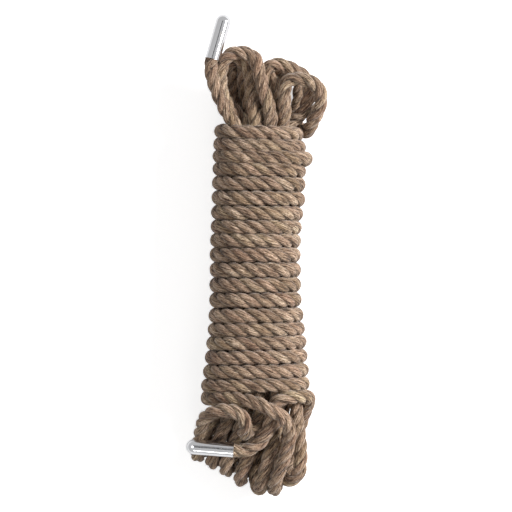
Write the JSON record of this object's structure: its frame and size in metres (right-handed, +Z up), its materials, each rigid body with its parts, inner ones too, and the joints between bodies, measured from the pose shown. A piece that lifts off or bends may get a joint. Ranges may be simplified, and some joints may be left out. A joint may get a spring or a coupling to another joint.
{
  "type": "rope hank",
  "caption": "Hank of laid natural-fibre rope, wound round its waist and closed by its own end, with a round-ended metal cap on each rope end.",
  "frame": {"origin": "on the surface that the hank lies on, at the middle of the winding's width", "axes": "+Z up, +Y along the hank towards the end with the upper cap, +X across to the right as seen from above"},
  "size_m": [0.0651, 0.2203, 0.0411],
  "materials": {
    "rope": "matte, coarse natural fibre",
    "cap_metal": "polished",
    "glue": "matte"
  },
  "bodies": {
    "root": {"end_cap_upper": "cap_metal", "end_cap_lower": "cap_metal", "glue_plug_upper": "glue", "glue_plug_lower": "glue", "rope_tail_upper": "rope", "hank_loops": "rope", "wrap_turns": "rope", "rope_tail_lower": "rope"}
  },
  "joints": []
}
